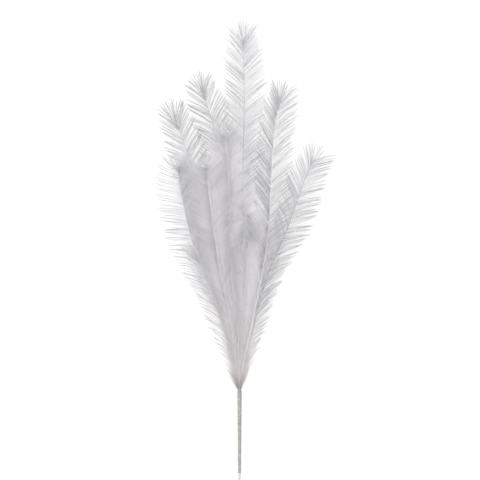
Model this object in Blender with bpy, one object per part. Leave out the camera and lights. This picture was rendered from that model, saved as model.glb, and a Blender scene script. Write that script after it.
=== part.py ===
"""Dried pampas grass: ten feathery plumes on fine wires, gathered round one core wire and bound with paper tape.

The spray lies on its back on a flat surface. +Z is up, +Y runs from the cut end to the plume tips, and the origin is
on the surface at the middle of the footprint. Sizes are in millimetres and become metres as each mesh is made.
"""

import math
import random
from collections import namedtuple

import bpy
import numpy as np

METRES = 0.001
SEED = 11

# Stem. The tape's mouth is its upper end, where the plumes come out
STEM_X = -10.3
CUT_END_Y = -438.0
WRAP_LOW_Y = -425.0
MOUTH_Y = -269.0
WRAP_LOW_RADIUS = 3.1
WRAP_TOP_RADIUS = 4.4
WRAP_SIDES = 16
WRAP_RINGS = 8
CORE_WIRE_RADIUS = 1.8
CORE_WIRE_SIDES = 12
CORE_WIRE_TOP_Y = MOUTH_Y - 2.0
GAP = 0.3

# Plume wires, seated in a ring between the core wire and the tape
PLUME_WIRE_RADIUS = 0.5
RING_RADIUS = CORE_WIRE_RADIUS + GAP + PLUME_WIRE_RADIUS
RING_START_DEG = -15.0
RING_STEP_DEG = 36.0
SOCKET_DEPTH = 45.0
SOCKET_RADIUS = RING_RADIUS + PLUME_WIRE_RADIUS + GAP
WIRE_BEND_Y = MOUTH_Y + 1.0

# Rachis: the downy spine of a plume, as thin as its wire at the mouth
RACHIS_RADIUS = 2.1
RACHIS_TIP_RADIUS = 1.1
RACHIS_SIDES = 5
RACHIS_STEP = 30.0
RACHIS_TURN_DEG = 13.0
FINE_POINTS = 24
SWELL_LENGTH = 130.0
TAPER_LENGTH = 160.0
FRAME_REACH = 4.0
FACING = (0.0, 0.25, 1.0)

# Barbs: each stands for one tuft of hair. A sweep is measured from the way to the plume's tip
BARB_LENGTH = 54.0
BARB_RADIUS = 0.75
BARB_MIDDLE_SHARE = 0.7
BARB_STEP_FOOT = 9.6
BARB_STEP_TIP = 4.8
BARB_CURL_DEG = 15.0
BARB_SPREAD_DEG = 36.0
BARB_WIDEST_SPREAD_DEG = 110.0
FIRST_BARB = 16.0
LAST_BARB = 2.0
FOOT_SHARE = 0.66
FULL_AT = 240.0
TIP_ZONE = 70.0
TIP_SWEEP_SHARE = 0.7
PLACE_JITTER = 1.5
SWEEP_JITTER_DEG = 8.0
LENGTH_JITTER = 0.1

# Crown: the barbs that fan out of a plume's very tip
CROWN_BARBS = 10
CROWN_DEPTH = 5.0
CROWN_LENGTH_SHARE = 0.84
CROWN_SWEEPS_DEG = (10.0, 34.0, 22.0)
CROWN_CURL_DEG = 5.0
CROWN_SPREAD_DEG = 14.0

# Clearances between barbs, and the height above the surface that no barb goes below
CLEARANCE = 0.5
OWN_CLEARANCE = 0.3
OWN_ROOT = 7.0
SPINE_STEP = 8.0
TRIES = 30
FLOOR_HEIGHT = 0.6

Barb = namedtuple("Barb", "place turn spread sweep curl length")
Plume = namedtuple("Plume", "sweep route")

# The plumes in their order round the ring of wires, with the sweep of their barbs in degrees and the route of each
# rachis from 135 mm above the tape to its tip. x is across the spray, y along it and z the height above the surface.
PLUMES = {
    "plume_right_low": Plume(
        48, [(20, -134, 17), (45, -44, 23), (77, 31, 28), (101, 98, 33), (118, 144, 38), (131, 169, 43)]
    ),
    "plume_right_tall": Plume(
        43, [(15, -134, 40), (34, -37, 58), (45, 40, 70), (50, 132, 74), (57, 230, 70), (67, 284, 66)]
    ),
    "plume_front_curled": Plume(
        46, [(-4, -134, 50), (2, -50, 84), (5, 24, 110), (5, 62, 127), (3, 58, 145), (0, 24, 154)]
    ),
    "plume_front_tall": Plume(
        46, [(-14, -134, 42), (-25, -44, 70), (-29, 40, 88), (-30, 126, 97), (-34, 182, 108), (-37, 210, 124)]
    ),
    "plume_front_left": Plume(
        46, [(-27, -134, 52), (-48, -30, 88), (-60, 50, 108), (-68, 116, 120), (-71, 144, 134), (-72, 152, 154)]
    ),
    "plume_left_curled": Plume(
        58, [(-46, -134, 42), (-84, -24, 72), (-105, 37, 88), (-117, 91, 98), (-124, 132, 110), (-126, 152, 130)]
    ),
    "plume_left_tall": Plume(
        43, [(-32, -134, 30), (-52, -24, 48), (-71, 60, 58), (-98, 148, 64), (-118, 208, 66), (-131, 246, 66)]
    ),
    "plume_left_low": Plume(
        46, [(-33, -134, 12), (-56, -84, 15), (-75, -44, 18), (-90, -14, 22)]
    ),
    "plume_back_left": Plume(
        43, [(-17, -134, 24), (-25, -20, 33), (-39, 110, 38), (-57, 220, 42), (-80, 300, 48)]
    ),
    "plume_back_tall": Plume(
        46, [(-8, -134, 12), (-6, 18, 17), (-4, 132, 20), (-2, 226, 24), (-1, 300, 28), (-4, 395, 34)]
    ),
}


def material(name, colour, roughness, metallic=0.0):
    """A Principled material of one colour."""
    made = bpy.data.materials.new(name)
    made.use_nodes = True
    shader = made.node_tree.nodes["Principled BSDF"]
    shader.inputs["Base Color"].default_value = (*colour, 1.0)
    shader.inputs["Roughness"].default_value = roughness
    shader.inputs["Metallic"].default_value = metallic
    return made


def mesh_object(name, points, faces, look=None, collection=None):
    """A mesh object whose points are given in millimetres."""
    mesh = bpy.data.meshes.new(name)
    mesh.from_pydata([tuple(p) for p in np.asarray(points) * METRES], [], faces)
    mesh.update()
    if look:
        mesh.materials.append(look)
        mesh.shade_smooth()
        mesh.set_sharp_from_angle(angle=math.radians(40))
    made = bpy.data.objects.new(name, mesh)
    (collection or bpy.context.scene.collection).objects.link(made)
    return made


def ring_faces(rings, sides):
    """Quads between each ring of points and the next."""
    return [
        (a * sides + i, a * sides + (i + 1) % sides, b * sides + (i + 1) % sides, b * sides + i)
        for a, b in rings
        for i in range(sides)
    ]


def unit(vector):
    return vector / np.linalg.norm(vector)


def stem_axis(y):
    """The centre of the stem at y. The taped stem's underside lies flat, so its axis rises as it thickens."""
    share = (y - WRAP_LOW_Y) / (MOUTH_Y - WRAP_LOW_Y)
    radius = WRAP_LOW_RADIUS + share * (WRAP_TOP_RADIUS - WRAP_LOW_RADIUS)
    return np.array([STEM_X, y, radius * math.cos(math.pi / WRAP_SIDES)])


def wrap_radius(y):
    return stem_axis(y)[2] / math.cos(math.pi / WRAP_SIDES)


def stem_ring(y, radius, sides):
    """A ring of points round the stem at y, with one side of the polygon flat at the bottom."""
    turns = -(np.arange(sides) + 0.5) * 2 * math.pi / sides - math.pi / 2
    around = np.column_stack([np.cos(turns), np.zeros(sides), np.sin(turns)])
    return stem_axis(y) + radius * around


def tape_wrap(look):
    """The tape: a tapered sleeve, wide inside at the top where the plume wires seat, and close on the core below."""
    outer = [(y, wrap_radius(y)) for y in np.linspace(WRAP_LOW_Y, MOUTH_Y, WRAP_RINGS)]
    socket_y = MOUTH_Y - SOCKET_DEPTH - 2 * GAP
    inner = [
        (MOUTH_Y, SOCKET_RADIUS),
        (socket_y, SOCKET_RADIUS),
        (socket_y, CORE_WIRE_RADIUS + GAP),
        (WRAP_LOW_Y, CORE_WIRE_RADIUS + GAP),
    ]
    profile = outer + inner
    points = np.concatenate([stem_ring(y, r, WRAP_SIDES) for y, r in profile])
    pairs = [(k, (k + 1) % len(profile)) for k in range(len(profile))]
    return mesh_object("stem_wrap", points, ring_faces(pairs, WRAP_SIDES), look)


def core_wire(look):
    """The core wire: its bare cut end shows below the tape, and its top ends just inside the mouth."""
    levels = [CUT_END_Y, WRAP_LOW_Y, CORE_WIRE_TOP_Y]
    points = np.concatenate([stem_ring(y, CORE_WIRE_RADIUS, CORE_WIRE_SIDES) for y in levels])
    faces = ring_faces([(0, 1), (1, 2)], CORE_WIRE_SIDES)
    faces.append(tuple(reversed(range(CORE_WIRE_SIDES))))
    faces.append(tuple(2 * CORE_WIRE_SIDES + i for i in range(CORE_WIRE_SIDES)))
    return mesh_object("stem_wire", points, faces, look)


def smooth_route(points):
    """Points along a smooth curve that sets off along +Y: one for each step of length or of turn."""
    points = np.asarray(points, float)
    knots = np.concatenate([[0], np.cumsum(np.sqrt(np.linalg.norm(np.diff(points, axis=0), axis=1)))])
    slopes = np.gradient(points, knots, axis=0)
    slopes[0] = [0, np.linalg.norm(slopes[0]), 0]
    fine = []
    for k in range(len(points) - 1):
        span = knots[k + 1] - knots[k]
        for t in np.linspace(0, 1, FINE_POINTS, endpoint=False):
            fine.append(
                (2 * t**3 - 3 * t**2 + 1) * points[k]
                + (t**3 - 2 * t**2 + t) * span * slopes[k]
                + (3 * t**2 - 2 * t**3) * points[k + 1]
                + (t**3 - t**2) * span * slopes[k + 1]
            )
    fine = np.array(fine + [points[-1]])
    strides = np.diff(fine, axis=0)
    lengths = np.linalg.norm(strides, axis=1)
    turns = np.arccos(np.clip((strides[1:] * strides[:-1]).sum(1) / lengths[1:] / lengths[:-1], -1, 1))
    steps = lengths / RACHIS_STEP + np.append(np.degrees(turns), 0) / RACHIS_TURN_DEG
    need = np.concatenate([[0], np.cumsum(steps)])
    wanted = np.linspace(0, need[-1], math.ceil(need[-1]) + 1)
    return np.column_stack([np.interp(wanted, need, fine[:, i]) for i in range(3)])


def seat_of(place, y):
    """Where a plume's wire lies at y, in its place in the ring round the core wire."""
    turn = math.radians(RING_START_DEG + RING_STEP_DEG * place)
    return stem_axis(y) + RING_RADIUS * np.array([math.cos(turn), 0, math.sin(turn)])


class Rachis:
    """The centre line of a plume from the mouth of the tape to its tip, with a frame across it."""

    def __init__(self, place, route):
        self.foot = seat_of(place, MOUTH_Y - SOCKET_DEPTH)
        self.line = smooth_route([seat_of(place, WIRE_BEND_Y), *route])
        self.at = np.concatenate([[0], np.cumsum(np.linalg.norm(np.diff(self.line, axis=0), axis=1))])
        self.length = self.at[-1]

    def point(self, along):
        return np.array([np.interp(along, self.at, self.line[:, i]) for i in range(3)])

    def frame(self, along):
        """(forward, sideways, facing): facing is the way that the plume's flat side looks, up from the surface."""
        ahead = self.point(min(along + FRAME_REACH, self.length)) - self.point(max(along - FRAME_REACH, 0))
        forward = unit(ahead)
        sideways = unit(np.cross(forward, FACING))
        return forward, sideways, np.cross(sideways, forward)

    def radius(self, along):
        """Thin wire at the mouth, then downy, then tapering to the tip."""
        swell = min(1.0, along / SWELL_LENGTH)
        swell = swell * swell * (3 - 2 * swell)
        taper = min(1.0, (self.length - along) / TAPER_LENGTH)
        full = RACHIS_TIP_RADIUS + (RACHIS_RADIUS - RACHIS_TIP_RADIUS) * taper
        return PLUME_WIRE_RADIUS + swell * (full - PLUME_WIRE_RADIUS)

    def tube(self):
        """(points, faces) of the rachis with its wire, closed at both ends."""
        centres = [self.foot, *self.line]
        radii = [PLUME_WIRE_RADIUS] + [self.radius(s) for s in self.at]
        frames = [self.frame(0)] + [self.frame(s) for s in self.at]
        frames[0] = frames[1] = (np.array([0.0, 1, 0]), np.array([1.0, 0, 0]), np.array([0.0, 0, 1]))
        points = [
            centre + radius * (math.cos(turn) * sideways + math.sin(turn) * facing)
            for centre, radius, (_, sideways, facing) in zip(centres, radii, frames)
            for turn in np.arange(RACHIS_SIDES) * 2 * math.pi / RACHIS_SIDES
        ]
        last = len(centres) - 1
        faces = [f[::-1] for f in ring_faces([(k, k + 1) for k in range(last)], RACHIS_SIDES)]
        faces.append(tuple(range(RACHIS_SIDES)))
        faces.append(tuple(last * RACHIS_SIDES + i for i in reversed(range(RACHIS_SIDES))))
        return np.array(points), faces


def barb_line(rachis, barb, attempt, draw):
    """Root, middle and tip of a barb, drawn at random. Each new attempt may turn it further round the rachis."""
    place = barb.place + draw.uniform(-PLACE_JITTER, PLACE_JITTER)
    spread = barb.spread + (BARB_WIDEST_SPREAD_DEG - barb.spread) * attempt / TRIES
    turn = math.radians(barb.turn + draw.gauss(0, spread))
    sweep = math.radians(barb.sweep + draw.uniform(-SWEEP_JITTER_DEG, SWEEP_JITTER_DEG))
    curl = math.radians(barb.curl * draw.uniform(0.2, 1.8))
    length = barb.length * draw.uniform(1 - LENGTH_JITTER, 1 + LENGTH_JITTER)
    forward, sideways, facing = rachis.frame(place)
    outward = math.cos(turn) * sideways + math.sin(turn) * facing
    line = [rachis.point(place)]
    for angle in (sweep, sweep + curl):
        line.append(line[-1] + length / 2 * (math.cos(angle) * forward + math.sin(angle) * outward))
        line[-1][2] = max(line[-1][2], FLOOR_HEIGHT)
    return np.array(line)


def segment_gaps(start, end, starts, ends):
    """The least distance between one segment and each of many."""
    u, v, w = end - start, ends - starts, start - starts
    a, b, c = u @ u, v @ u, (v * v).sum(1)
    d, e = w @ u, (v * w).sum(1)
    s = np.clip(np.where(a * c - b * b > 1e-9, (b * e - c * d) / np.maximum(a * c - b * b, 1e-9), 0), 0, 1)
    t = np.clip((b * s + e) / c, 0, 1)
    s = np.clip((b * t - d) / a, 0, 1)
    return np.linalg.norm(w + s[:, None] * u - t[:, None] * v, axis=1)


class Space:
    """What is placed so far, as thick segments, so that the next barb can be bent clear of it."""

    def __init__(self):
        self.starts, self.ends, self.radii, self.owners = [], [], [], []

    def add(self, owner, line, radii):
        for k in range(len(line) - 1):
            self.starts.append(line[k])
            self.ends.append(line[k + 1])
            self.radii.append(max(radii[k], radii[k + 1]))
            self.owners.append(owner)

    def is_clear(self, owner, line, radii):
        """Whether a barb keeps clear of other plumes all along, and of its own plume's barbs past its root."""
        owners, thick = np.array(self.owners), np.array(self.radii)
        starts, ends = np.array(self.starts), np.array(self.ends)
        own = owners == owner
        past_root = line[0] + (line[1] - line[0]) * OWN_ROOT / np.linalg.norm(line[1] - line[0])
        for k in range(len(line) - 1):
            radius = max(radii[k], radii[k + 1])
            gaps = segment_gaps(line[k], line[k + 1], starts, ends) - thick - radius
            if (gaps[~own] < CLEARANCE).any():
                return False
            begin = past_root if k == 0 else line[k]
            own_gaps = segment_gaps(begin, line[k + 1], starts[own], ends[own]) - thick[own] - radius
            if (own_gaps < OWN_CLEARANCE).any():
                return False
        return True


def side_barbs(length, sweep):
    """The barbs up both sides of a plume: closer together, longer and wider swept away from the mouth of the tape."""
    place, turn = FIRST_BARB, 0
    while place < length - LAST_BARB:
        share = FOOT_SHARE + (1 - FOOT_SHARE) * min(1.0, place / FULL_AT)
        near_tip = max(0.0, 1 - (length - place) / TIP_ZONE)
        swept = sweep * share * (1 - (1 - TIP_SWEEP_SHARE) * near_tip)
        yield Barb(place, turn, BARB_SPREAD_DEG, swept, BARB_CURL_DEG, BARB_LENGTH * share)
        place += BARB_STEP_FOOT + (BARB_STEP_TIP - BARB_STEP_FOOT) * place / length
        turn = 180 - turn


def crown_barbs(length):
    """The barbs that fan out of the very tip of a plume."""
    for k in range(CROWN_BARBS):
        turn = 360 * k / CROWN_BARBS
        sweep = CROWN_SWEEPS_DEG[k % len(CROWN_SWEEPS_DEG)]
        reach = BARB_LENGTH * CROWN_LENGTH_SHARE
        yield Barb(length - CROWN_DEPTH, turn, CROWN_SPREAD_DEG, sweep, CROWN_CURL_DEG, reach)


def grow_barbs(name, rachis, sweep, space, draw):
    """The lines and radii of a plume's barbs. Each is drawn again until it lies clear of all that is placed."""
    grown = []
    for barb in [*side_barbs(rachis.length, sweep), *crown_barbs(rachis.length)]:
        radius = min(BARB_RADIUS, 0.8 * rachis.radius(barb.place))
        radii = (radius, BARB_MIDDLE_SHARE * radius, 0.0)
        lines = (barb_line(rachis, barb, attempt, draw) for attempt in range(TRIES))
        line = next((line for line in lines if space.is_clear(name, line, radii)), None)
        if line is not None:
            space.add(name, line, radii)
            grown.append((line, radii))
    return grown


def needle(line, radii):
    """(points, faces) of a three-sided needle along a barb's line, closed at its root and pointed at its tip."""
    forward = unit(line[1] - line[0])
    across = unit(np.cross(forward, FACING))
    over = np.cross(forward, across)
    points = [
        centre + radius * (math.cos(turn) * across + math.sin(turn) * over)
        for centre, radius in zip(line[:2], radii[:2])
        for turn in (math.pi / 2 + side * 2 * math.pi / 3 for side in range(3))
    ]
    points.append(line[2])
    faces = [f for i, j in ((0, 1), (1, 2), (2, 0)) for f in ((i, j, j + 3, i + 3), (i + 3, j + 3, 6))]
    faces.append((2, 1, 0))
    return np.array(points), faces


def fuse(body, pieces):
    """Joins the pieces to the body with one Boolean union, and removes them."""
    union = body.modifiers.new("fuse", "BOOLEAN")
    union.operation = "UNION"
    union.operand_type = "COLLECTION"
    union.collection = pieces
    union.solver = "EXACT"
    bpy.context.view_layer.objects.active = body
    bpy.ops.object.modifier_apply(modifier=union.name)
    for piece in list(pieces.objects):
        bpy.data.objects.remove(piece)
    bpy.data.collections.remove(pieces)


def plume(name, rachis, barbs, look):
    """One plume: the rachis with every barb fused to it."""
    points, faces = rachis.tube()
    body = mesh_object(name, points, faces, look)
    pieces = bpy.data.collections.new(name + "_barbs")
    bpy.context.scene.collection.children.link(pieces)
    for k, (line, radii) in enumerate(barbs):
        mesh_object(f"{name}_barb_{k}", *needle(line, radii), collection=pieces)
    fuse(body, pieces)
    body.data.shade_smooth()
    body.data.set_sharp_from_angle(angle=math.radians(40))
    return body


def main():
    for old in list(bpy.data.objects):
        bpy.data.objects.remove(old)
    tape_wrap(material("paper_tape", (0.62, 0.60, 0.57), 0.85))
    core_wire(material("wire", (0.45, 0.45, 0.46), 0.45, 0.6))
    hair = material("plume_hair", (0.80, 0.79, 0.82), 0.8)
    rachides = {name: Rachis(place, plan.route) for place, (name, plan) in enumerate(PLUMES.items())}
    space = Space()
    for name, rachis in rachides.items():
        stations = np.linspace(0, rachis.length, round(rachis.length / SPINE_STEP))
        space.add(name, [rachis.point(s) for s in stations], [rachis.radius(s) for s in stations])
    draw = random.Random(SEED)
    for name, rachis in rachides.items():
        plume(name, rachis, grow_barbs(name, rachis, PLUMES[name].sweep, space, draw), hair)


main()
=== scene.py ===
"""The looks of the dried pampas grass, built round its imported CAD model.

Each plume is grown again fibre by fibre along the same rachis as its CAD node, and the tape and the wire are
made finer. Lengths are in millimetres, as in the CAD source, and become metres as each mesh is made.
"""

import math
from collections import namedtuple

import bpy
import numpy as np
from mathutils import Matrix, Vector


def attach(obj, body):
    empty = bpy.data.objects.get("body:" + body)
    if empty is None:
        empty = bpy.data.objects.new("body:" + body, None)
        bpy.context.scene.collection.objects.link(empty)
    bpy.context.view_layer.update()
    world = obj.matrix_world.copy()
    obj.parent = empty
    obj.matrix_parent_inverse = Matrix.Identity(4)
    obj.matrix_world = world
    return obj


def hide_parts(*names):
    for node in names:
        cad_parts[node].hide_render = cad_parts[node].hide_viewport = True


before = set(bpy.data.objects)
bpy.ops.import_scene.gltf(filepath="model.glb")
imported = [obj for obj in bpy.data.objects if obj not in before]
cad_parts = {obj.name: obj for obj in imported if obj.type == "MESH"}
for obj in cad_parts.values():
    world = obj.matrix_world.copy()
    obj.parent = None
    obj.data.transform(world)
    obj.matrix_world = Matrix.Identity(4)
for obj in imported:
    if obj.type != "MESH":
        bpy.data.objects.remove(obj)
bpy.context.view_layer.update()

METRES = 0.001
SEED = 5
LEFT, RIGHT = 0, 1

# Stem, as in the CAD source
STEM_X = -10.3
CUT_END_Y = -438.0
WRAP_LOW_Y = -425.0
MOUTH_Y = -269.0
WRAP_LOW_RADIUS = 3.1
WRAP_TOP_RADIUS = 4.4
WRAP_SIDES = 16
CORE_WIRE_RADIUS = 1.8
PLUME_WIRE_RADIUS = 0.5
RING_RADIUS = 2.6
RING_START_DEG = -15.0
RING_STEP_DEG = 36.0
SOCKET_DEPTH = 45.0
SOCKET_RADIUS = 3.4
WIRE_BEND_Y = MOUTH_Y + 1.0

# Core wire. WORN_EDGE holds distances from the cut end, each with the radius there
CORE_WIRE_TOP_Y = MOUTH_Y - 2.0
CORE_WIRE_SIDES = 32
WORN_EDGE = [(0.0, 1.35), (0.35, 1.7), (0.8, CORE_WIRE_RADIUS)]

# Crepe tape, wound in a rising spiral. Its creases are a sum of waves that run round and along it
TAPE_PITCH = 7.5
TAPE_STEP = 0.3
TAPE_BORE_RADIUS = CORE_WIRE_RADIUS + 0.1
TAPE_ROWS = 300
TAPE_SIDES = 40
CREASE_DEPTH = 0.09
CREASE_WAVES = 14
CREASE_PITCHES = (2.0, 9.0)
MOST_CREASES_ROUND = 6

# Rachis. FACING is the way that the flat front of a plume looks, and LAY is the share of the rachis's climb
# that its fibres follow
FACING = (0.0, 0.25, 1.0)
LAY = 0.15
FINE_POINTS = 40
LINE_STEP = 3.0
SPINE_RADIUS = 0.8
SPINE_TIP_RADIUS = 0.35
SPINE_SIDES = 8
SWELL_LENGTH = 130.0
TAPER_LENGTH = 160.0

# Tufts: bundles of fibres up both sides of a rachis. A sweep is measured from the way to the plume's tip, and
# a turn goes round the rachis, from its right side. Both sides droop a little, away from the front
TUFT_LENGTH = 57.0
TUFT_STEP = 5.2
FIRST_TUFT = 0.5
TUFT_SPREAD_DEG = 15.0
WIDEST_SPREAD_DEG = 32.0
DROOP_DEG = 10.0
FEWEST_FIBRES = 2

# Where a rachis stands up, its fibres look closer together from the front, so there they spread wider round
# it and are fewer
STEEP_SPREAD_DEG = 40.0
LEAST_DENSITY = 0.33

# Up to FULL_AT on a rachis the tufts lie closer to it and are shorter, thinner and more curled. They are also
# painted paler there: painted light against the shade where the plumes crowd at the foot
FULL_AT = 300.0
FOOT_SWEEP = 0.36
FOOT_LENGTH = 0.75
FOOT_DENSITY = 0.4
FOOT_PAINTED_LIGHT = 0.3
FOOT_CURL_DEG = 12.0

# Over the last TIP_ZONE of a rachis the tufts become shorter, and less swept and darker as the plume says.
# The darker tone is painted shade, which keeps the thin, well-lit tips grey
TIP_ZONE = 70.0
TIP_LENGTH = 0.86

# Where other plumes cover a side, it is painted pale, as painted light against the shade that they cast, and
# most of its fibres stray. This sets in over COVER_FADE
COVERED_PAINTED_LIGHT = 1.0
COVERED_STRAYS = 0.75
COVER_FADE = 80.0

# How much the tufts differ from each other. Where more fibres stray, the tufts differ less
PLACE_JITTER = 1.0
SWEEP_JITTER_DEG = 2.8
FIBRES_JITTER = 0.6
CURL_JITTER = 0.8
LENGTH_JITTER = 0.07
TUFT_TONE_JITTER = 0.08

# Crown: the tufts that fan out of a plume's very tip, each turned on from the last by the golden angle.
# CROWN_SHADED_TONE is the palest that they are: a painted shade that keeps the isolated, well-lit fan greyer
CROWN_TUFTS = 18
CROWN_DEPTH = 24.0
CROWN_TURN_DEG = 137.5
CROWN_TURN_JITTER_DEG = 12.0
CROWN_SWEEPS_DEG = (4.0, 30.0)
CROWN_CURLS_DEG = (0.0, 5.0)
CROWN_LENGTHS = (0.86, 1.0)
CROWN_STRAYS = 0.1
CROWN_SHADED_TONE = 0.35

# Fibres: closed three-sided needles. Most lie close together in their tuft, and the stray ones fill the gaps
# between tufts. Their lengths are shares of the tuft's length
FIBRE_RADIUS = 0.13
FIBRE_SIDES = 3
FIBRE_STATIONS = (0.0, 0.45, 0.9, 1.0)
FIBRE_THICKNESS = (1.0, 0.95, 0.6)
FIBRE_PLACE = 0.4
FIBRE_TURN_DEG = 2.55
FIBRE_SWEEP_DEG = 0.4
FIBRE_CURL_DEG = 0.6
FIBRE_LENGTHS = (0.82, 1.0)
STRAY_PLACE = 3.4
STRAY_TURN_DEG = 27.2
STRAY_SWEEP_DEG = 4.0
STRAY_CURL_DEG = 5.0
STRAY_LENGTHS_SQUARED = (0.05, 0.9)
LEAST_COSINE = 0.35
LOWEST_HEIGHT = 0.3

# Tones of the fibres, from 0, grey, to 1, nearly white. A fibre is painted paler at its root: painted light
# against the shade where the roots crowd round the rachis
LOWEST_TONE = 0.1
MIDDLE_TONE = 0.75
ROOT_PAINTED_LIGHT = 0.35
TONE_JITTER = 0.08

# The foot of the spray, where the fibres are warmer in colour
WARM_FROM_Y = -260.0
WARM_TO_Y = -80.0

# Camera and picture
PICTURE_WIDTH = 912.0
PICTURE_CENTRE = (-9.3, 17.7)
CAMERA_HEIGHT = 8000.0
SENSOR_WIDTH = 36.0

# Studio, with lamps in metres and watts
TABLE_HALF_WIDTH = 9000.0
TABLE_DROP = 0.3
TABLE_GLOW = 0.6
WORLD_STRENGTH = 0.8
LIGHT_BOUNCES = 48
TOP_LAMP_PLACE = (-1.6, 0.9, 9.0)
TOP_LAMP_SIZE = 6.0
TOP_LAMP_POWER = 430.0
SIDE_LAMP_PLACE = (-5.0, -0.4, 1.4)
SIDE_LAMP_SIZE = 1.2
SIDE_LAMP_POWER = 45.0

# Arrays with a value for each tuft. place is how far up the rachis it grows, fibres is how many it has, and
# strays is the share of them that stray
Tufts = namedtuple("Tufts", "place turn sweep curl length fibres strays tone")

Plume = namedtuple("Plume", "sweeps curl tip fibres strays crown tones fade spine cover route")

# The plumes in their order round the ring of wires. The values that are pairs, but for crown, are for the
# left and the right side:
#   sweeps: how far the tufts are swept out, in degrees
#   curl: how much further out a tuft bends on its way, in degrees
#   tip: the share of the sweep that is left at the tip
#   fibres: how many a tuft has
#   strays: the share of them that stray
#   crown: how many fibres a tuft of the crown has, and their length
#   tones: the tone of the fibres, set for each side as painted light and shade: paler on the dense plumes
#       that shade themselves, greyer on the thin, well-lit ones
#   fade: the share of the tone that is left at the tip, as painted shade
#   spine: the tone of the rachis, set plume by plume as painted shade, to dim a rachis that would stand out
#       lit
#   cover: how far up the rachis other plumes cover the side
#   route: the line of the rachis
PLUMES = {
    "plume_right_low": Plume(
        sweeps=(37, 50), curl=10, tip=0.75, fibres=(30, 25), strays=(0.5, 0.3), crown=(6, 43),
        tones=(0.5, 0.15), fade=1.0, spine=0.05, cover=(200, 0),
        route=[
            (20, -134, 17), (45, -44, 23), (77, 31, 28),
            (101, 98, 33), (118, 144, 38), (131, 169, 43),
        ],
    ),
    "plume_right_tall": Plume(
        sweeps=(34, 43), curl=9, tip=0.8, fibres=(30, 20), strays=(0.6, 0.35), crown=(10, 47),
        tones=(0.1, 0.15), fade=0.75, spine=0.7, cover=(260, 160),
        route=[
            (15, -134, 40), (34, -37, 58), (45, 40, 70),
            (50, 132, 74), (57, 230, 70), (67, 284, 66),
        ],
    ),
    "plume_front_curled": Plume(
        sweeps=(46, 46), curl=9, tip=0.8, fibres=(54, 50), strays=(0.97, 0.97), crown=(9, 30),
        tones=(0.6, 0.78), fade=0.3, spine=0.05, cover=(0, 0),
        route=[
            (-4, -134, 50), (2, -50, 84), (5, 24, 110),
            (5, 62, 127), (3, 58, 145), (0, 24, 154),
        ],
    ),
    "plume_front_tall": Plume(
        sweeps=(43, 43), curl=9, tip=0.9, fibres=(48, 48), strays=(0.8, 0.8), crown=(15, 52),
        tones=(0.9, 0.95), fade=0.38, spine=0.45, cover=(0, 0),
        route=[
            (-14, -134, 42), (-25, -44, 70), (-29, 40, 88),
            (-30, 126, 97), (-34, 182, 108), (-37, 210, 124),
        ],
    ),
    "plume_front_left": Plume(
        sweeps=(44, 44), curl=9, tip=1.0, fibres=(50, 50), strays=(0.8, 0.8), crown=(9, 34),
        tones=(0.6, 0.68), fade=0.6, spine=0.1, cover=(0, 0),
        route=[
            (-27, -134, 52), (-48, -30, 88), (-60, 50, 108),
            (-68, 116, 120), (-71, 144, 134), (-72, 152, 154),
        ],
    ),
    "plume_left_curled": Plume(
        sweeps=(67, 44), curl=7, tip=0.6, fibres=(29, 55), strays=(0.3, 0.8), crown=(11, 42),
        tones=(0.35, 0.4), fade=1.0, spine=0.1, cover=(0, 0),
        route=[
            (-46, -134, 42), (-84, -24, 72), (-105, 37, 88),
            (-117, 91, 98), (-124, 132, 110), (-126, 152, 130),
        ],
    ),
    "plume_left_tall": Plume(
        sweeps=(43, 43), curl=9, tip=0.7, fibres=(28, 30), strays=(0.3, 0.35), crown=(19, 50),
        tones=(0.1, 0.15), fade=0.75, spine=0.4, cover=(330, 340),
        route=[
            (-32, -134, 30), (-52, -24, 48), (-71, 60, 58),
            (-98, 148, 64), (-118, 208, 66), (-131, 246, 66),
        ],
    ),
    "plume_left_low": Plume(
        sweeps=(32, 42), curl=10, tip=0.7, fibres=(24, 32), strays=(0.3, 0.6), crown=(9, 44),
        tones=(0.3, 0.6), fade=1.0, spine=0.2, cover=(0, 270),
        route=[
            (-33, -134, 12), (-56, -84, 15), (-75, -44, 18),
            (-90, -14, 22),
        ],
    ),
    "plume_back_left": Plume(
        sweeps=(43, 43), curl=9, tip=0.7, fibres=(24, 27), strays=(0.3, 0.35), crown=(15, 48),
        tones=(0.12, 0.08), fade=0.75, spine=0.1, cover=(370, 370),
        route=[
            (-17, -134, 24), (-25, -20, 33), (-39, 110, 38),
            (-57, 220, 42), (-80, 300, 48),
        ],
    ),
    "plume_back_tall": Plume(
        sweeps=(46, 46), curl=7, tip=0.7, fibres=(23, 21), strays=(0.35, 0.45), crown=(12, 50),
        tones=(0.2, 0.3), fade=0.75, spine=0.2, cover=(400, 400),
        route=[
            (-8, -134, 12), (-6, 18, 17), (-4, 132, 20),
            (-2, 226, 24), (-1, 300, 28), (-4, 395, 34),
        ],
    ),
}


def mix(start, end, share):
    """From start, where share is 0, to end, where it is 1."""
    return start + (end - start) * share


def unit(vectors):
    return vectors / np.linalg.norm(vectors, axis=-1, keepdims=True)


def distances_along(line):
    """How far along the line each of its points is."""
    return np.concatenate([[0], np.cumsum(np.linalg.norm(np.diff(line, axis=0), axis=1))])


def stem_axis(y):
    """The centre of the stem at y. The taped stem's underside lies flat, so its axis rises as it thickens."""
    radius = mix(WRAP_LOW_RADIUS, WRAP_TOP_RADIUS, (y - WRAP_LOW_Y) / (MOUTH_Y - WRAP_LOW_Y))
    return np.array([STEM_X, y, radius * math.cos(math.pi / WRAP_SIDES)])


def stem_circle(y, radius, angles):
    """Points round the stem's axis at y. radius is one number, or one for each angle."""
    across = np.column_stack([np.cos(angles), np.zeros(len(angles)), np.sin(angles)])
    return stem_axis(y) + np.reshape(radius, (-1, 1)) * across


def seat_of(place, y):
    """Where a plume's wire lies at y, in its place in the ring round the core wire."""
    angle = math.radians(RING_START_DEG + RING_STEP_DEG * place)
    return stem_circle(y, RING_RADIUS, [angle])[0]


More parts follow.
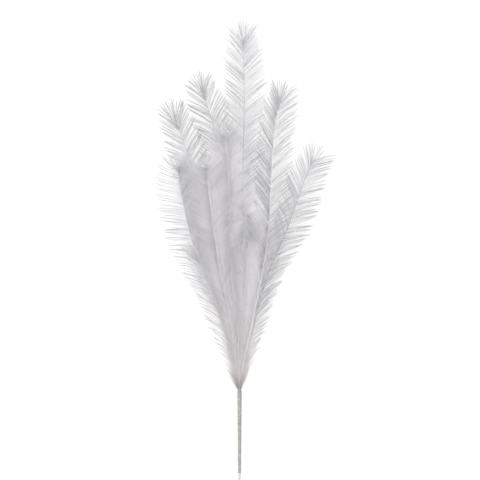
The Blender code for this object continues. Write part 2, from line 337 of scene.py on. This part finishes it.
def smooth_route(points):
    """Evenly spaced points along a smooth curve that sets off along +Y."""
    points = np.asarray(points, float)
    knots = np.concatenate([[0], np.cumsum(np.sqrt(np.linalg.norm(np.diff(points, axis=0), axis=1)))])
    slopes = np.gradient(points, knots, axis=0)
    slopes[0] = [0, np.linalg.norm(slopes[0]), 0]
    fine = []
    for k in range(len(points) - 1):
        span = knots[k + 1] - knots[k]
        for t in np.linspace(0, 1, FINE_POINTS, endpoint=False):
            fine.append(
                (2 * t**3 - 3 * t**2 + 1) * points[k]
                + (t**3 - 2 * t**2 + t) * span * slopes[k]
                + (3 * t**2 - 2 * t**3) * points[k + 1]
                + (t**3 - t**2) * span * slopes[k + 1]
            )
    fine = np.array(fine + [points[-1]])
    along = distances_along(fine)
    wanted = np.linspace(0, along[-1], round(along[-1] / LINE_STEP) + 1)
    return np.column_stack([np.interp(wanted, along, fine[:, i]) for i in range(3)])


class Rachis:
    """The centre line of a plume from the mouth of the tape to its tip, with the axes that fibres go by."""

    def __init__(self, place, route):
        self.foot = seat_of(place, MOUTH_Y - SOCKET_DEPTH)
        self.line = smooth_route([seat_of(place, WIRE_BEND_Y), *route])
        self.at = distances_along(self.line)
        self.length = self.at[-1]
        self.forward = unit(np.gradient(self.line, axis=0))
        self.lay = unit(self.forward * (1, 1, LAY))
        self.sideways = unit(np.cross(self.lay, FACING))
        self.facing = np.cross(self.sideways, self.lay)

    def read(self, values, places):
        """Values that are known at each point of the line, read at other places along it."""
        return np.column_stack([np.interp(places, self.at, values[:, i]) for i in range(3)])

    def levelness(self, places):
        """1 where the rachis lies level, and 0 where it stands upright."""
        return np.linalg.norm(self.read(self.forward, places)[:, :2], axis=1)

    def radii(self):
        """Thin wire at the mouth, then thicker, then tapering to the tip."""
        swell = np.minimum(1, self.at / SWELL_LENGTH)
        taper = np.minimum(1, (self.length - self.at) / TAPER_LENGTH)
        full = mix(SPINE_TIP_RADIUS, SPINE_RADIUS, taper)
        return mix(PLUME_WIRE_RADIUS, full, swell**2 * (3 - 2 * swell))


def side_tufts(rachis, plan, side, draw):
    """The tufts up one side of a plume."""
    place = np.arange(FIRST_TUFT + side * TUFT_STEP / 2, rachis.length, TUFT_STEP)
    many = len(place)
    place = place + draw.uniform(-PLACE_JITTER, PLACE_JITTER, many)

    grown = np.minimum(1, place / FULL_AT)
    near_tip = np.clip(1 - (rachis.length - place) / TIP_ZONE, 0, 1)
    covered = np.clip((plan.cover[side] - place) / COVER_FADE, 0, 1)
    steep = 1 - rachis.levelness(place)
    strays = mix(plan.strays[side], COVERED_STRAYS, covered)
    clumping = 1 - strays**2

    sweep = plan.sweeps[side] * mix(FOOT_SWEEP, 1, grown**2) * mix(1, plan.tip, near_tip)
    sweep = sweep + draw.normal(0, SWEEP_JITTER_DEG * clumping, many)

    widest = WIDEST_SPREAD_DEG + STEEP_SPREAD_DEG * steep
    turn = draw.normal(0, 1, many) * (TUFT_SPREAD_DEG * clumping + STEEP_SPREAD_DEG * steep)
    turn = np.clip(turn, -widest, widest)
    turn = turn - DROOP_DEG if side == RIGHT else 180 + turn + DROOP_DEG

    curl = plan.curl + FOOT_CURL_DEG * (1 - grown)
    curl = curl * (1 + CURL_JITTER * clumping * draw.uniform(-1, 1, many))

    length = TUFT_LENGTH * mix(FOOT_LENGTH, 1, grown) * mix(1, TIP_LENGTH, near_tip)
    length = length * draw.uniform(1 - LENGTH_JITTER, 1 + LENGTH_JITTER, many)

    fibres = plan.fibres[side] * mix(FOOT_DENSITY, 1, grown) * np.maximum(LEAST_DENSITY, 1 - steep)
    fibres = fibres * (1 + FIBRES_JITTER * clumping * draw.uniform(-1, 1, many))
    fibres = np.maximum(FEWEST_FIBRES, np.round(fibres))

    # Painted light: the tone is raised at the foot of the rachis and where other plumes cover the side,
    # against the shade there
    tone = mix(plan.tones[side] + FOOT_PAINTED_LIGHT * (1 - grown), COVERED_PAINTED_LIGHT, covered)
    # Painted shade: the tone is lowered towards the tip, where the thin tufts lie well lit
    tone = tone * mix(1, plan.fade, near_tip) + draw.normal(0, TUFT_TONE_JITTER, many)
    return Tufts(place, turn, sweep, curl, length, fibres, strays, tone)


def crown_tufts(rachis, plan, draw):
    """The tufts that fan out of the tip, widest lowest down."""
    depth = np.linspace(0, 1, CROWN_TUFTS)
    place = rachis.length - CROWN_DEPTH * depth
    turn = np.arange(CROWN_TUFTS) * CROWN_TURN_DEG + draw.normal(0, CROWN_TURN_JITTER_DEG, CROWN_TUFTS)
    sweep = mix(*CROWN_SWEEPS_DEG, depth)
    curl = draw.uniform(*CROWN_CURLS_DEG, CROWN_TUFTS)
    fibres, reach = plan.crown
    length = reach * draw.uniform(*CROWN_LENGTHS, CROWN_TUFTS) + CROWN_DEPTH * depth / 2
    fibres = np.round(fibres * np.maximum(LEAST_DENSITY, rachis.levelness(place)))
    strays = np.full(CROWN_TUFTS, CROWN_STRAYS)
    # Painted shade: the crown's tone is held down, greyer than its well-lit fan would look
    tone = np.full(CROWN_TUFTS, min(CROWN_SHADED_TONE, max(plan.tones)))
    return Tufts(place, turn, sweep, curl, length, fibres, strays, tone)


def fibre_lines(rachis, tufts, lie_flat, draw):
    """The stations of every fibre, one row a fibre, with a vector across each fibre's own plane and its tone.

    Where lie_flat is set, the sweep is as seen from the front: a fibre that points up or down is swept out
    further, so that from the front they all lie side by side.
    """
    counts = tufts.fibres.astype(int)
    place, turn, sweep, curl, reach, _, strays, tone = (np.repeat(column, counts) for column in tufts)
    many = len(place)
    is_stray = draw.random(many) < strays

    place = place + draw.uniform(-1, 1, many) * np.where(is_stray, STRAY_PLACE, FIBRE_PLACE)
    place = np.clip(place, FIRST_TUFT, rachis.length)
    turn = turn + draw.uniform(-1, 1, many) * np.where(is_stray, STRAY_TURN_DEG, FIBRE_TURN_DEG)
    turn = np.radians(turn)
    sweep = sweep + draw.normal(0, 1, many) * np.where(is_stray, STRAY_SWEEP_DEG, FIBRE_SWEEP_DEG)
    sweep = np.radians(sweep)
    if lie_flat:
        sweep = np.arctan(np.tan(sweep) / np.maximum(np.abs(np.cos(turn)), LEAST_COSINE))
    curl = curl + draw.normal(0, 1, many) * np.where(is_stray, STRAY_CURL_DEG, FIBRE_CURL_DEG)
    curl = np.radians(curl)
    stray_length = np.sqrt(draw.uniform(*STRAY_LENGTHS_SQUARED, many))
    length = reach * np.where(is_stray, stray_length, draw.uniform(*FIBRE_LENGTHS, many))

    forward = unit(rachis.read(rachis.lay, place))
    sideways = unit(rachis.read(rachis.sideways, place))
    facing = unit(rachis.read(rachis.facing, place))
    outward = np.cos(turn)[:, None] * sideways + np.sin(turn)[:, None] * facing
    across = np.cross(forward, outward)
    stations = [rachis.read(rachis.line, place)]
    for begin, end in zip(FIBRE_STATIONS, FIBRE_STATIONS[1:]):
        angle = (sweep + curl * (begin + end) / 2)[:, None]
        stride = np.cos(angle) * forward + np.sin(angle) * outward
        stations.append(stations[-1] + stride * (length * (end - begin))[:, None])
    lines = np.stack(stations, axis=1)
    lines[:, 1:, 2] = np.maximum(lines[:, 1:, 2], LOWEST_HEIGHT)
    return lines, across, tone


def fibre_mesh(lines, across):
    """(points, triangles) of a closed needle along each of the lines."""
    points = []
    for k, thickness in enumerate(FIBRE_THICKNESS):
        forward = unit(lines[:, k + 1] - lines[:, max(k - 1, 0)])
        first = unit(np.cross(forward, across))
        second = np.cross(forward, first)
        for turn in np.arange(FIBRE_SIDES) * 2 * math.pi / FIBRE_SIDES:
            offset = math.cos(turn) * first + math.sin(turn) * second
            points.append(lines[:, k] + thickness * FIBRE_RADIUS * offset)
    points.append(lines[:, -1])
    points = np.stack(points, axis=1)

    tip = points.shape[1] - 1
    last_ring = tip - FIBRE_SIDES
    faces = [(2, 1, 0)]
    for i in range(FIBRE_SIDES):
        j = (i + 1) % FIBRE_SIDES
        for k in range(0, last_ring, FIBRE_SIDES):
            above = k + FIBRE_SIDES
            faces += [(k + i, k + j, above + j), (k + i, above + j, above + i)]
        faces.append((last_ring + i, last_ring + j, tip))
    starts = np.arange(len(lines))[:, None, None] * (tip + 1)
    return points.reshape(-1, 3), (np.array(faces) + starts).reshape(-1, 3)


def point_tones(tones, draw):
    """The tone at each point of the needles, from the tones of their tufts, with painted light that makes
    each fibre paler at its root.
    """
    tones = tones + draw.normal(0, TONE_JITTER, len(tones))
    along = np.append(np.repeat(FIBRE_STATIONS[:-1], FIBRE_SIDES), FIBRE_STATIONS[-1])
    return np.clip(tones[:, None] + ROOT_PAINTED_LIGHT * (1 - along), LOWEST_TONE, 1).ravel()


def tube(centres, radii, first, second, sides):
    """(points, triangles) of a closed tube through the centres. first and second are axes across it."""
    turns = np.arange(sides) * 2 * math.pi / sides
    ring = np.cos(turns)[:, None, None] * first + np.sin(turns)[:, None, None] * second
    points = (centres + radii[:, None] * ring).transpose(1, 0, 2).reshape(-1, 3)
    faces = []
    for k in range(len(centres) - 1):
        for i in range(sides):
            a, b = k * sides + i, k * sides + (i + 1) % sides
            faces += [(a, b + sides, b), (a, a + sides, b + sides)]
    end = (len(centres) - 1) * sides
    for i in range(1, sides - 1):
        faces += [(0, i, i + 1), (end, end + i + 1, end + i)]
    return points, np.array(faces)


def spine(rachis):
    """(points, triangles) of the rachis and the wire that it stands on."""
    centres = np.concatenate([[rachis.foot], rachis.line])
    radii = np.concatenate([[PLUME_WIRE_RADIUS], rachis.radii()])
    forward = np.concatenate([[[0.0, 1, 0]], rachis.forward])
    first = unit(np.array([1.0, 0, 0]) - forward[:, :1] * forward)
    return tube(centres, radii, first, np.cross(first, forward), SPINE_SIDES)


def mesh_object(name, points, faces, look):
    """A smooth mesh object whose points are given in millimetres."""
    mesh = bpy.data.meshes.new(name)
    mesh.from_pydata(np.asarray(points) * METRES, [], faces)
    mesh.update()
    mesh.shade_smooth()
    mesh.materials.append(look)
    made = bpy.data.objects.new(name, mesh)
    bpy.context.scene.collection.objects.link(made)
    return made


def set_attribute(mesh, name, values):
    """A number for each point of a mesh, which a material reads by name."""
    mesh.attributes.new(name, "FLOAT", "POINT").data.foreach_set("value", values.astype(np.float32))


def plume(name, rachis, plan, look, draw):
    """One plume: its spine and all its fibres, in one mesh."""
    right = side_tufts(rachis, plan, RIGHT, draw)
    left = side_tufts(rachis, plan, LEFT, draw)
    both = Tufts(*(np.concatenate(pair) for pair in zip(right, left)))
    side = fibre_lines(rachis, both, True, draw)
    crown = fibre_lines(rachis, crown_tufts(rachis, plan, draw), False, draw)
    lines, across, tones = (np.concatenate(pair) for pair in zip(side, crown))

    spine_points, spine_faces = spine(rachis)
    hair_points, hair_faces = fibre_mesh(lines, across)
    points = np.concatenate([spine_points, hair_points])
    faces = np.concatenate([spine_faces, hair_faces + len(spine_points)])
    made = mesh_object(name + "_fibres", points, faces, look)
    # Painted shade: the rachis takes its plume's own tone, set to dim it where it would stand out lit
    spine_tones = np.full(len(spine_points), plan.spine)
    set_attribute(made.data, "tone", np.concatenate([spine_tones, point_tones(tones, draw)]))
    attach(made, "root")
    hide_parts(name)


def creases(y, turn, draw):
    """The height of the creases, from -1 to 1, at each y and share of a turn round the tape."""
    height = np.zeros_like(y)
    for _ in range(CREASE_WAVES):
        count = draw.integers(1, MOST_CREASES_ROUND + 1)
        pitch = draw.uniform(*CREASE_PITCHES)
        phase = draw.uniform(0, 2 * math.pi)
        height += np.sin(2 * math.pi * (count * turn + y / pitch) + phase) / CREASE_WAVES
    return height


def tape(look, draw):
    """The crepe tape: a sleeve with the stepped edge of each turn of its spiral, and creases."""
    rows = np.linspace(WRAP_LOW_Y, MOUTH_Y, TAPE_ROWS)
    turns = np.arange(TAPE_SIDES) / TAPE_SIDES
    y, turn = np.meshgrid(rows, turns, indexing="ij")
    lap = ((y - WRAP_LOW_Y) / TAPE_PITCH + turn) % 1
    full = np.array([stem_axis(row)[2] for row in rows])[:, None]
    outer_radii = full - TAPE_STEP * (1 - lap) - CREASE_DEPTH * (1 + creases(y, turn, draw))
    levels = [
        *zip(rows, outer_radii),
        (MOUTH_Y, SOCKET_RADIUS),
        (MOUTH_Y - SOCKET_DEPTH, SOCKET_RADIUS),
        (MOUTH_Y - SOCKET_DEPTH, TAPE_BORE_RADIUS),
        (WRAP_LOW_Y, TAPE_BORE_RADIUS),
    ]
    points = np.concatenate([stem_circle(y, radius, -2 * math.pi * turns) for y, radius in levels])
    faces = []
    for k in range(len(levels)):
        below = k * TAPE_SIDES
        above = (k + 1) % len(levels) * TAPE_SIDES
        for i in range(TAPE_SIDES):
            j = (i + 1) % TAPE_SIDES
            faces.append((below + i, below + j, above + j, above + i))
    made = mesh_object("crepe_tape", points, faces, look)
    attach(made, "root")
    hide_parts("stem_wrap")


def wire(look):
    """The core wire, with the worn edge of its cut end."""
    levels = [(CUT_END_Y + distance, radius) for distance, radius in WORN_EDGE]
    levels += [(WRAP_LOW_Y, CORE_WIRE_RADIUS), (CORE_WIRE_TOP_Y, CORE_WIRE_RADIUS)]
    centres = np.array([stem_axis(y) for y, _ in levels])
    radii = np.array([radius for _, radius in levels])
    first = np.array([1.0, 0, 0])
    second = np.array([0, 0, 1.0])
    made = mesh_object("core_wire", *tube(centres, radii, first, second, CORE_WIRE_SIDES), look)
    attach(made, "root")
    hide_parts("stem_wire")


def new_material(name, roughness, metallic=0.0):
    """A material, its node tree and its Principled shader."""
    made = bpy.data.materials.new(name)
    made.use_nodes = True
    shader = made.node_tree.nodes["Principled BSDF"]
    shader.inputs["Roughness"].default_value = roughness
    shader.inputs["Metallic"].default_value = metallic
    return made, made.node_tree, shader


def add_node(tree, kind, values):
    """A node with some of its inputs set by name."""
    node = tree.nodes.new(kind)
    for name, value in values.items():
        node.inputs[name].default_value = value
    return node


def ramp(tree, factor, stops):
    """A colour ramp fed by factor. stops are (place, colour)."""
    node = tree.nodes.new("ShaderNodeValToRGB")
    elements = node.color_ramp.elements
    while len(elements) < len(stops):
        elements.new(0.5)
    for element, (place, colour) in zip(elements, stops):
        element.position = place
        element.color = (*colour, 1.0)
    tree.links.new(factor, node.inputs["Fac"])
    return node.outputs["Color"]


def hair_material():
    """Fine pale fibres, each a little different, warmer near the foot of the spray. Their tone, read from the
    mesh, also carries painted light and shade.
    """
    made, tree, shader = new_material("plume_hair", 0.7)
    tone = tree.nodes.new("ShaderNodeAttribute")
    tone.attribute_name = "tone"
    own = ramp(tree, tone.outputs["Fac"], [
        (0.0, (0.50, 0.49, 0.51)),
        (LOWEST_TONE, (0.58, 0.575, 0.59)),
        (MIDDLE_TONE, (0.85, 0.838, 0.862)),
        (1.0, (0.96, 0.945, 0.965)),
    ])
    place = tree.nodes.new("ShaderNodeTexCoord")
    split = tree.nodes.new("ShaderNodeSeparateXYZ")
    tree.links.new(place.outputs["Object"], split.inputs["Vector"])
    limits = {"From Min": WARM_FROM_Y * METRES, "From Max": WARM_TO_Y * METRES}
    height = add_node(tree, "ShaderNodeMapRange", limits)
    tree.links.new(split.outputs["Y"], height.inputs["Value"])
    warm = ramp(tree, height.outputs["Result"], [
        (0.0, (0.60, 0.565, 0.545)),
        (0.15, (0.95, 0.925, 0.905)),
        (1.0, (1.0, 1.0, 1.0)),
    ])
    blend = tree.nodes.new("ShaderNodeMix")
    blend.data_type = "RGBA"
    blend.blend_type = "MULTIPLY"
    blend.inputs["Factor"].default_value = 1.0
    tree.links.new(own, blend.inputs["A"])
    tree.links.new(warm, blend.inputs["B"])
    tree.links.new(blend.outputs["Result"], shader.inputs["Base Color"])
    return made


def tape_material():
    """Pale grey crepe paper with mottling and fine wrinkles."""
    made, tree, shader = new_material("paper_tape", 0.85)
    place = tree.nodes.new("ShaderNodeTexCoord")
    mottle = add_node(tree, "ShaderNodeTexNoise", {"Scale": 240.0, "Detail": 6.0, "Roughness": 0.65})
    tree.links.new(place.outputs["Object"], mottle.inputs["Vector"])
    colour = ramp(tree, mottle.outputs["Fac"], [(0.3, (0.24, 0.225, 0.21)), (0.7, (0.50, 0.47, 0.44))])
    tree.links.new(colour, shader.inputs["Base Color"])
    wrinkles = add_node(tree, "ShaderNodeTexWave", {"Scale": 420.0, "Distortion": 6.0, "Detail": 3.0})
    tree.links.new(place.outputs["Object"], wrinkles.inputs["Vector"])
    bump = add_node(tree, "ShaderNodeBump", {"Strength": 0.5, "Distance": 0.0002})
    tree.links.new(wrinkles.outputs["Fac"], bump.inputs["Height"])
    tree.links.new(bump.outputs["Normal"], shader.inputs["Normal"])
    return made


def wire_material():
    """Dull drawn wire with fine lines along it."""
    made, tree, shader = new_material("wire", 0.45, 0.7)
    place = tree.nodes.new("ShaderNodeTexCoord")
    squeeze = add_node(tree, "ShaderNodeMapping", {"Scale": (2500.0, 60.0, 2500.0)})
    tree.links.new(place.outputs["Object"], squeeze.inputs["Vector"])
    drawn = add_node(tree, "ShaderNodeTexNoise", {"Scale": 1.0, "Detail": 3.0})
    tree.links.new(squeeze.outputs["Vector"], drawn.inputs["Vector"])
    colour = ramp(tree, drawn.outputs["Fac"], [(0.3, (0.42, 0.42, 0.43)), (0.7, (0.62, 0.62, 0.63))])
    tree.links.new(colour, shader.inputs["Base Color"])
    return made


def floor():
    """A plain white table that glows a little, so that it stays bright under the spray."""
    made, _, shader = new_material("white_table", 0.9)
    shader.inputs["Base Color"].default_value = (0.4, 0.4, 0.4, 1)
    shader.inputs["Emission Color"].default_value = (1, 1, 1, 1)
    shader.inputs["Emission Strength"].default_value = TABLE_GLOW
    half = TABLE_HALF_WIDTH
    corners = [(x, y, -TABLE_DROP) for x, y in ((-half, -half), (half, -half), (half, half), (-half, half))]
    mesh_object("table", corners, [(0, 1, 2, 3)], made)


def camera():
    """A long lens straight above, with the same framing as the photograph."""
    lens = bpy.data.cameras.new("camera")
    lens.sensor_width = SENSOR_WIDTH
    lens.lens = SENSOR_WIDTH * CAMERA_HEIGHT / PICTURE_WIDTH
    lens.clip_end = 100.0
    made = bpy.data.objects.new("camera", lens)
    made.location = Vector((*PICTURE_CENTRE, CAMERA_HEIGHT)) * METRES
    bpy.context.scene.collection.objects.link(made)
    bpy.context.scene.camera = made


def lamp(name, place, size, power):
    """A round soft lamp that is aimed at the spray."""
    light = bpy.data.lights.new(name, "AREA")
    light.shape = "DISK"
    light.size = size
    light.energy = power
    made = bpy.data.objects.new(name, light)
    made.location = place
    made.rotation_euler = (-Vector(place)).to_track_quat("-Z", "Y").to_euler()
    bpy.context.scene.collection.objects.link(made)


def studio():
    """Even white surroundings, a large soft lamp nearly overhead and a small one low on the left."""
    scene = bpy.context.scene
    scene.world = bpy.data.worlds.new("studio")
    scene.world.use_nodes = True
    background = scene.world.node_tree.nodes["Background"]
    background.inputs["Color"].default_value = (1, 1, 1, 1)
    background.inputs["Strength"].default_value = WORLD_STRENGTH
    lamp("key", TOP_LAMP_PLACE, TOP_LAMP_SIZE, TOP_LAMP_POWER)
    lamp("side", SIDE_LAMP_PLACE, SIDE_LAMP_SIZE, SIDE_LAMP_POWER)
    scene.view_settings.view_transform = "Standard"
    scene.cycles.max_bounces = LIGHT_BOUNCES
    scene.cycles.diffuse_bounces = LIGHT_BOUNCES


def main():
    camera()
    floor()
    studio()
    draw = np.random.default_rng(SEED)
    tape(tape_material(), draw)
    wire(wire_material())
    hair = hair_material()
    for place, (name, plan) in enumerate(PLUMES.items()):
        plume(name, Rachis(place, plan.route), plan, hair, draw)


main()
